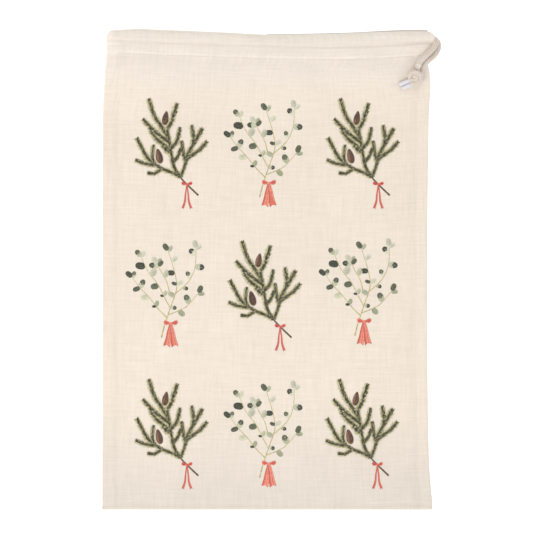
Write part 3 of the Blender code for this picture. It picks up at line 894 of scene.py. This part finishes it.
def aglet(level, inner, outer):
    """A plastic sleeve lying on the cloth from its inner end to its tip, with the cord's
    end inside it."""
    ends = []
    for (x, y), lift in ((inner, 1.05), (outer, 0.15)):
        surface = float(body_height(x, y)) + CLOTH / 2
        ends.append(np.array([x, y, surface + AGLET_R + lift]))
    start, end = ends
    axis = unit(end - start)
    length = float(np.linalg.norm(end - start))
    # its outline: rounded ends, crimped behind the inner one and slimmer towards the tip
    at = [0, 0.12, 0.35, 1.0, 1.3, 1.7, 2.0, length - 1.0, length - 0.5, length - 0.15, length]
    size = [0.92, 0.98, 1.0, 1.0, 0.955, 0.955, 0.99, 0.95, 0.94, 0.90, 0.84]
    reach = np.linspace(0, length, AGLET_RINGS)
    route = start + reach[:, None] * axis
    radii = np.interp(reach, at, size)[:, None] * AGLET_R * np.ones((1, AGLET_AROUND))
    outside, faces = tube_mesh(route, radii, AGLET_AROUND, closed_ends=False)
    bore = np.maximum(radii - AGLET_WALL, 0.5)
    hollow, hollow_faces = tube_mesh(route, bore, AGLET_AROUND, closed_ends=False)
    count = len(outside)
    faces += [tuple(int(i) + count for i in face[::-1]) for face in hollow_faces]
    for k in range(AGLET_AROUND):
        a, b = k, (k + 1) % AGLET_AROUND
        faces.append((a, a + count, b + count, b))
        a, b = a + count - AGLET_AROUND, b + count - AGLET_AROUND
        faces.append((b, b + count, a + count, a))
    sleeve = mesh_object(f"aglet_sleeve_{level}", np.concatenate([outside, hollow]), faces, plastic)
    core_route = np.array([start - axis * 0.6, start + axis * 3, end - axis * 0.7])
    core_r = AGLET_R - AGLET_WALL - 0.2
    core, _ = braid(f"cord_end_sleeve_{level}", core_route, core_r, 0.4, 24)
    drawstring_piece(sleeve, f"aglet_{level}")
    drawstring_piece(core, f"cord_end_{level}")
    return sleeve, core


upper_end = aglet("upper", (122.4, 160.7), (112.2, 156.5))
lower_end = aglet("lower", (122.9, 157.2), (115.0, 153.5))

# ---- thread
OUTER_LAYER_Z = 12.4  # the front casing's turned-in layer lies below this height
MIDDLE_COLUMN = 70
cloth_top_rows = (row_kind == "front") | (
    (row_kind == "front casing") & (cloth_points[:, MIDDLE_COLUMN, 2] > OUTER_LAYER_Z)
)
cloth_top = cloth_points[cloth_top_rows].reshape(-1, 3)


def surface_z(x, y):
    """Top of the front's cloth at one point, from the cloth's nearest points."""
    near = np.argsort((cloth_top[:, 0] - x) ** 2 + (cloth_top[:, 1] - y) ** 2)[:3]
    return float(cloth_top[near, 2].mean()) + CLOTH / 2


def stitch(a, b, lift):
    """One stitch from a to b, sunk into the cloth at both ends."""
    t = np.linspace(0, 1, 6)[:, None]
    route = np.array(a) + (np.array(b) - np.array(a)) * t
    route[:, 2] += lift * np.sin(t[:, 0] * math.pi) - 0.16
    return tube_mesh(route, THREAD_R * (0.75 + 0.25 * np.sin(t * math.pi)), 7)


def stitches(starts, length, point_at, lift=0.08):
    """A row of stitches; `point_at` turns a place along the row into a point."""
    return join([stitch(point_at(start), point_at(start + length), lift) for start in starts])


def casing_row(front):
    def point_at(x):
        y = float(along(STITCH_LINE, x)) + 0.15
        return x, y, surface_z(x, y) if front else 1.62

    return stitches(np.arange(-126.5, 131.0, 2.95), 2.5, point_at)


def slit_row(front):
    def point_at(depth):
        x = float(along(CASING_END, depth)) - 6.0
        y = float(mix(along(STITCH_LINE, x), along(TOP_FOLD, x), depth))
        return x, y, surface_z(x, y) if front else 1.7 + 5.0 * float(smooth(depth, 0.12, 0.36))

    return stitches(0.16 + 0.15 * np.arange(5), 0.12, point_at)


def seam_row(edge, inward):
    """Lockstitches holding the two allowances together just inside the edge."""

    def point_at(y):
        x = float(along(edge, y)) + inward * 1.6
        return x, y, float(mix(2.1, 9.3, smooth(y, *MOUTH_RAMP)))

    return stitches(np.arange(-196.0, 172.0, 2.9), 2.45, point_at, 0.1)


def overlock_row(edge, inward):
    """The zigzag of thread that binds the allowances' raw edges."""
    points = []
    for k, y in enumerate(np.arange(-198.0, 168.0, 1.1)):
        d = ALLOWANCE - (2.2 if k % 2 else -0.35)
        lift = float(mix(0.0, 7.2, smooth(y, *MOUTH_RAMP)))
        z = lift + (1.95 if k % 2 else 1.3)
        points.append((float(along(edge, y)) + inward * d, y, z))
    route = spline(points, count=len(points) * 2)
    return tube_mesh(route, THREAD_R * 0.8, 6)


EDGES = (("left", LEFT_EDGE, 1), ("right", RIGHT_EDGE, -1))
threads = [
    (f"{side}_{kind}", row(side == "front"))
    for kind, row in (("casing", casing_row), ("slit", slit_row))
    for side in ("front", "back")
]
threads += [
    (f"{side}_{kind}", row(edge, inward))
    for kind, row in (("seam", seam_row), ("overlock", overlock_row))
    for side, edge, inward in EDGES
]
pouch_pieces = [cloth]
for name, (verts, faces) in threads:
    piece = mesh_object(f"{name}_stitches", verts, faces, thread_cotton)
    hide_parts(f"{name}_thread")
    pouch_pieces.append(piece)

# ---- the print
OLIVE = [ink(50, 49, 33), ink(68, 67, 43), ink(40, 40, 29), ink(90, 87, 57)]
SPRING = [ink(192, 184, 124), ink(176, 168, 108), ink(210, 202, 152), ink(150, 146, 94)]
FLECK = [ink(206, 202, 170), ink(184, 180, 140)]
BARK = [ink(104, 84, 58), ink(84, 68, 50)]
CONE = [ink(118, 78, 56), ink(168, 118, 84), ink(80, 56, 44), ink(192, 142, 108)]
LEAF_DARK = [ink(80, 86, 70), ink(96, 102, 82), ink(62, 68, 56)]
LEAF_SAGE = [ink(190, 192, 164), ink(204, 205, 178), ink(170, 174, 144), ink(214, 213, 190)]
STEM = [ink(200, 190, 118), ink(180, 168, 104)]
CORAL = [ink(224, 112, 92), ink(232, 126, 106), ink(200, 88, 74), ink(244, 172, 150)]
RED = [ink(206, 84, 74), ink(218, 96, 84), ink(178, 66, 60), ink(232, 132, 116)]


def stroke(points, spacing):
    """Even points along a drawn line, its directions and the directions across it."""
    p = spline([(*q, 0.0) for q in points], spacing)[:, :2]
    tangent = unit(np.gradient(p, axis=0))
    return p, tangent, np.stack([-tangent[:, 1], tangent[:, 0]], axis=1)


def directions(angle):
    """The direction at an angle, and the one to its left."""
    axis = np.array([math.cos(angle), math.sin(angle)])
    return axis, np.array([-axis[1], axis[0]])


def heading_of(direction):
    return math.atan2(direction[1], direction[0])


class Print:
    """Flat coloured shapes, gathered to lie as one mesh on the front panel."""

    def __init__(self, seed):
        self.rng = np.random.RandomState(seed)
        self.verts, self.faces, self.colours = [], [], []
        self.count = 0

    def shape(self, outline, layer, colour):
        """A filled outline (points in mm), `layer` mm above the lowest ink."""
        n = len(outline)
        self.verts.append(np.column_stack([outline, np.full(n, float(layer))]))
        self.colours.append(np.tile(np.asarray(colour), (n, 1)))
        self.faces.append(tuple(range(self.count, self.count + n)))
        self.count += n

    def pick(self, palette):
        colour = np.array(palette[self.rng.randint(len(palette))])
        return np.clip(colour * self.rng.uniform(0.88, 1.14), 0, 0.9)

    def needle(self, root, angle, length, width, layer, palette):
        axis, side = directions(angle)
        across = side * width / 2
        belly = root + axis * length * 0.45
        outline = [root, belly - across, root + axis * length, belly + across]
        self.shape(outline, layer, self.pick(palette))

    def segment(self, left, right, i, layer, colour):
        """One piece of a band between its left and right sides."""
        self.shape([left[i], left[i + 1], right[i + 1], right[i]], layer, colour)

    def line(self, points, start_width, end_width, layer, palette, spacing=1.6):
        """A tapering stroke through some points."""
        p, _, across = stroke(points, spacing)
        half = np.linspace(start_width, end_width, len(p))[:, None] / 2
        for i in range(len(p) - 1):
            self.segment(p + across * half, p - across * half, i, layer, self.pick(palette))

    def twig(self, points, bushy):
        """A pine twig: a pale fringe of needles round a dark, speckled middle."""
        p, tangent, across = stroke(points, 0.42)
        total = len(p)
        for i in range(total):
            heading = heading_of(tangent[i])
            to_tip = (total - 1 - i) / total
            size = bushy * (0.66 + 0.34 * min(1.0, to_tip * 7)) * self.rng.uniform(0.75, 1.25)
            for side in (-1, 1):
                for length, lean, spread, width, layer, palette, chance in (
                    (3.2, (0.55, 1.1), 0.8, 0.6, 0.0, SPRING, 1.0),
                    (2.1, (0.15, 0.6), 0.85, 0.75, 0.03, OLIVE, 0.95),
                    (1.3, (0.2, 0.9), 1.5, 0.62, 0.045, FLECK, 0.22),
                ):
                    if self.rng.rand() > chance:
                        continue
                    root = p[i] + side * across[i] * self.rng.uniform(0, spread)
                    if layer > 0:
                        root = root + np.array([0.3, 0.1])
                    angle = heading + side * self.rng.uniform(*lean)
                    self.needle(root, angle, length * size, width, layer, palette)
        self.line(points, 1.5, 1.0, 0.02, OLIVE)
        heading = heading_of(tangent[-1])
        for lean in (-0.35, 0.0, 0.35):
            self.needle(p[-1] - tangent[-1] * 1.6, heading + lean, 2.5, 0.7, 0.05, OLIVE)

    def cone(self, foot, angle, length, width):
        """A pine cone with rows of scales."""
        axis, side = directions(angle)
        t = np.linspace(0, 2 * math.pi, 20, endpoint=False)
        foot = np.asarray(foot, dtype=float)
        reach = length / 2 * (1 + np.cos(t))
        fat = width / 2 * np.sin(t) * (1 - 0.28 * np.cos(t))
        self.shape(foot + reach[:, None] * axis + fat[:, None] * side, 0.05, CONE[2])
        pitch = 0.85  # from one scale to the next
        rows = int(length / pitch)
        for r in range(rows):
            s = (r + 0.5) / rows
            half = width / 2 * math.sqrt(max(0.0, 1 - (2 * s - 1) ** 2)) * (1.12 - 0.4 * s)
            for k in range(-2, 3):
                offset = (k + 0.5 * (r % 2)) * pitch
                if abs(offset) > half * 0.95:
                    continue
                at = foot + axis * (s * length) + side * offset
                scale = [at - axis * 0.35, at + side * 0.36, at + axis * 0.45, at - side * 0.36]
                # lighter on the lit side, darker on the other
                self.shape(scale, 0.06, self.pick(CONE[1::2] if k > 0 else CONE[::2]))

    def leaf(self, root, angle, length, width, palette, point, layer=0.02):
        """A roundish leaf with a paler rim, darker middle and a vein."""
        axis, side = directions(angle)
        t = np.linspace(0, 2 * math.pi, 18, endpoint=False)
        reach = length / 2 * (1 + np.cos(t) * (1 + point * np.maximum(np.cos(t), 0)))
        fat = width / 2 * np.sin(t) * (1 + 0.12 * np.cos(2 * t))
        tint = self.pick(palette)
        outline = root + reach[:, None] * axis + fat[:, None] * side
        middle = outline.mean(axis=0)
        self.shape(outline, layer, tint)
        inner = middle + (outline - middle) * 0.78
        count = len(inner) // 2
        if palette is LEAF_SAGE and self.rng.rand() < 0.32:
            # one side and the foot of the leaf are in the dark
            inner = np.roll(middle + (outline - middle) * 0.98, -count // 2, axis=0)
            inner[:count] = middle + (inner[:count] - middle) * 0.3
            shade = self.pick(LEAF_DARK)
        else:
            inner[:count] = middle + (inner[:count] - middle) * 0.5
            shade = np.clip(tint * self.rng.uniform(0.74, 0.9), 0, 0.9)
        self.shape(inner, layer + 0.015, shade)
        tip = root + axis * length * 0.85
        self.line([root, middle, tip], 0.22, 0.1, layer + 0.025, [tint * 1.25])

    def bow(self, centre, scale, tail, spread, sway, palette):
        """A plain ribbon bow: two loops, a knot and two striped tails.

        `spread` is the tails' width at their ends and `sway` how far these hang apart.
        """
        c = np.array(centre, dtype=float)
        t = np.linspace(0, 2 * math.pi, 22, endpoint=False)
        for side in (-1, 1):
            # the tail
            out = side * 2.3 * scale
            drops = ((0, 0), (0.5, 0.42), (0.72, 0.72), (sway, 1))
            route = [(c[0] + out * x, c[1] - tail * y) for x, y in drops]
            p, tangent, across = stroke(route, 1.0)
            half = np.linspace(0.4 * spread, spread, len(p))[:, None] * scale / 2
            left, right = p + across * half, p - across * half
            for i in range(len(p) - 1):
                self.segment(left, right, i, 0.07, self.pick(palette[:2]))
                for start, end, colour in ((0.12, 0.22, 3), (0.48, 0.56, 3), (0.8, 1.0, 2)):
                    a, b = mix(left, right, start), mix(left, right, end)
                    self.segment(a, b, i, 0.075, palette[colour])
            notch = (left[-1] + right[-1]) / 2 + tangent[-1] * -0.2
            drop = tangent[-1] * scale
            self.shape([left[-1], left[-1] + drop, notch], 0.07, palette[0])
            self.shape([right[-1], notch, right[-1] + drop], 0.07, palette[2])
            # the loop
            loop = np.stack([0.5 + 0.5 * np.cos(t), 0.5 * np.sin(t)], axis=1)
            loop[:, 1] *= 0.35 + 0.75 * loop[:, 0]
            loop = loop * np.array([4.6 * side, 3.6]) * scale
            loop[:, 1] += loop[:, 0] * side * 0.22
            self.shape(c + loop, 0.08, self.pick(palette[:2]))
            hollow = loop * np.array([0.62, 0.42]) + np.array([side * 1.1, 0.3]) * scale
            self.shape(c + hollow, 0.09, palette[2])
            light = loop * np.array([0.5, 0.12]) + (side * 0.4, -0.5 * scale)
            self.shape(c + light, 0.095, palette[3])
        ring = np.stack([np.cos(t) * 0.85, np.sin(t) * 1.05], axis=1) * scale
        self.shape(c + ring, 0.1, palette[0])
        self.shape(c + ring * 0.5 + (-0.2, 0.2), 0.11, palette[3])


def pine_sprig():
    p = Print(3)
    fork = (9.0, -19.1)
    p.line([(24.3, -34.4), (17.0, -27.5), (12.0, -22.5), fork], 1.5, 1.3, 0.05, BARK, 1.2)
    middle_bough = [
        (0.85, fork, (4.1, -11.6), (1.7, -2.6), (0.2, 7.4), (-1.7, 17.4)),
        (1.0, (-0.3, 9.4), (-2.2, 19.4), (2.2, 30.4), (6.0, 42.9)),
        (1.0, (-1.2, 15.4), (-7.0, 23.4), (-13.8, 34.4), (-17.7, 46.9)),
        (1.0, (-0.7, 10.4), (-8.0, 15.9), (-14.8, 21.9), (-22.6, 29.9)),
        (0.95, (0.7, 3.4), (-6.1, 9.4), (-12.4, 14.4), (-17.2, 22.9)),
        (0.85, (0.7, 1.4), (-4.1, 4.9), (-7.5, 10.9)),
        (0.95, (1.2, 5.4), (6.0, 11.9), (8.5, 22.4)),
        (0.8, (2.6, -6.6), (6.5, -1.6), (9.0, 4.9)),
    ]
    right_bough = [
        (0.8, fork, (11.9, -11.6), (14.3, -3.6)),
        (1.0, (12.8, -7.6), (15.3, 0.4), (20.1, 9.4), (27.4, 21.9)),
        (0.9, (19.1, 7.4), (20.1, 14.4), (18.7, 24.4)),
        (0.95, (14.3, -3.6), (20.6, 0.9), (25.9, 4.9), (31.3, 10.9)),
        (0.85, (13.3, -5.6), (11.4, 1.4), (9.9, 11.4)),
    ]
    left_bough = [
        (0.8, fork, (1.7, -15.1), (-6.1, -12.1), (-12.9, -8.1)),
        (1.0, (-10.9, -9.6), (-17.7, -4.1), (-22.6, 3.4), (-27.9, 13.9)),
        (0.9, (-11.9, -8.6), (-19.7, -8.1), (-28.9, -4.6)),
        (0.8, (-13.8, -6.6), (-14.8, -0.6), (-13.8, 7.9)),
        (0.75, (-7.0, -12.1), (-12.9, -15.6), (-18.7, -15.6)),
    ]
    for bushy, *points in middle_bough + right_bough + left_bough:
        p.twig(points, bushy)
    p.cone((-7.6, -7.4), 1.80, 12.9, 5.9)
    p.cone((-4.6, 25.2), 1.40, 12.0, 5.3)
    p.bow((14.6, -25.0), 1.0, 20.0, 2.0, 1.5, RED)
    return p


def eucalyptus_sprig():
    p = Print(8)
    foot, fork = (-4.5, -36.0), (1.0, -17.0)
    p.line([foot, (-2.0, -26.0), fork], 1.0, 0.8, 0.03, STEM)
    stems = [
        [fork, (4.0, -8.0), (7.0, 0.0), (8.5, 8.0), (6.5, 20.0), (1.0, 38.0)],
        [(7.0, 1.0), (13.0, 6.0), (19.5, 13.0), (24.0, 24.0), (25.0, 40.0)],
        [fork, (9.5, -13.5), (17.5, -9.0), (27.0, 2.0)],
        [(3.0, -11.0), (-2.0, -2.0), (-7.5, 9.0), (-16.0, 20.0), (-22.0, 33.0)],
        [(0.0, -19.0), (-7.0, -12.0), (-15.0, -2.0), (-23.5, 7.0), (-29.5, 15.5)],
        [(2.5, 1.0), (0.0, 11.0), (-5.5, 21.0), (-8.0, 27.0)],
    ]
    for number, stem in enumerate(stems):
        p.line(stem, 0.72, 0.32, 0.03, STEM)
        line, tangent, _ = stroke(stem, 0.5)
        for k, i in enumerate(range(14 + 3 * number, len(line) - 4, 20 + number % 3)):
            heading = heading_of(tangent[i])
            side = 1 if k % 2 else -1
            share = i / len(line)
            size = (6.2 + p.rng.uniform(-1.0, 1.3)) * (0.78 + 0.42 * share)
            dark = p.rng.rand() < 0.36
            palette = LEAF_DARK if dark else LEAF_SAGE
            lean = side * p.rng.uniform(0.9, 1.5)
            p.leaf(line[i], heading + lean, size, size * p.rng.uniform(0.72, 0.95), palette, 0.15)
            if p.rng.rand() < 0.3:
                other = LEAF_SAGE if dark else LEAF_DARK
                small = size * p.rng.uniform(0.6, 0.85)
                p.leaf(line[i], heading - lean, small, small * 0.8, other, 0.2, 0.035)
        heading = heading_of(tangent[-1])
        p.leaf(line[-1], heading + 0.3, 6.2, 5.2, LEAF_SAGE if number % 2 else LEAF_DARK, 0.15)
        p.leaf(line[-3], heading - 0.9, 5.4, 4.2, LEAF_SAGE, 0.15, 0.0)
    p.bow((3.4, -24.3), 1.3, 18.2, 4.4, 1.1, CORAL)
    return p


def place_print(name, sprig, centres):
    """One sprig's drawing at several places on the front panel, as one piece."""
    drawing = np.concatenate(sprig.verts)
    verts = np.concatenate([drawing + (*centre, 0.0) for centre in centres])
    starts = range(0, len(verts), len(drawing))
    faces = [tuple(i + start for i in face) for start in starts for face in sprig.faces]
    colours = np.tile(np.concatenate(sprig.colours), (len(centres), 1))
    verts[:, 2] += body_height(verts[:, 0], verts[:, 1]) + CLOTH / 2 + 0.07
    piece = mesh_object(name, verts, faces, ink_material, colours=colours, uv=verts[:, :2] * MM)
    pouch_pieces.append(piece)


# Three rows of three sprigs, pine and eucalyptus in turn.
PINE_PLACES = [(-82.5, 97.3), (79.9, 97.3), (-3.4, -23.4), (-82.5, -140.7), (79.1, -140.7)]
EUCALYPTUS_PLACES = [(-1.7, 97.3), (-85.0, -21.7), (79.1, -20.0), (-1.7, -140.7)]
place_print("pine_print", pine_sprig(), PINE_PLACES)
place_print("eucalyptus_print", eucalyptus_sprig(), EUCALYPTUS_PLACES)

# ---- the pieces' placement baked into their meshes
for piece in pouch_pieces:
    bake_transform(piece)
